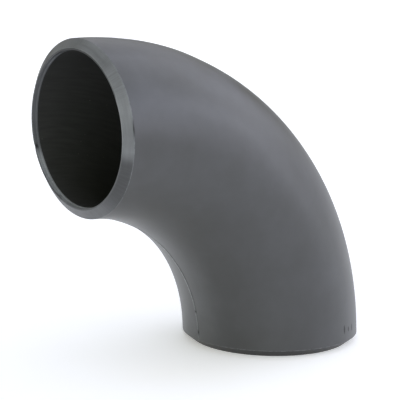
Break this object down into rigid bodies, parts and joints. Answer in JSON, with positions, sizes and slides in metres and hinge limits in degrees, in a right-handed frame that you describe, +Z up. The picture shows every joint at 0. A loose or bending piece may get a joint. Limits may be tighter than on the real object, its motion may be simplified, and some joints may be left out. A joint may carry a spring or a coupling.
{
  "type": "pipe elbow",
  "caption": "Long-radius 90 degree butt-weld pipe elbow in grey painted steel: two pressed half shells welded along throat and back, with bevelled ends.",
  "frame": {"origin": "centre of the lower end face, on the lower end's axis", "axes": "+Z up, into the lower end and along its axis; the upper end opens along -X; the bend lies in the XZ plane, so Y is across it"},
  "size_m": [0.3132, 0.1682, 0.3132],
  "materials": {
    "grey_painted_steel": "satin",
    "painted_weld": "satin",
    "dark_bore": "matt"
  },
  "bodies": {
    "root": {"near_half_shell": "grey_painted_steel", "far_half_shell": "grey_painted_steel", "throat_outer_weld": "painted_weld", "back_outer_weld": "painted_weld", "throat_inner_weld": "dark_bore", "back_inner_weld": "dark_bore"}
  },
  "joints": []
}
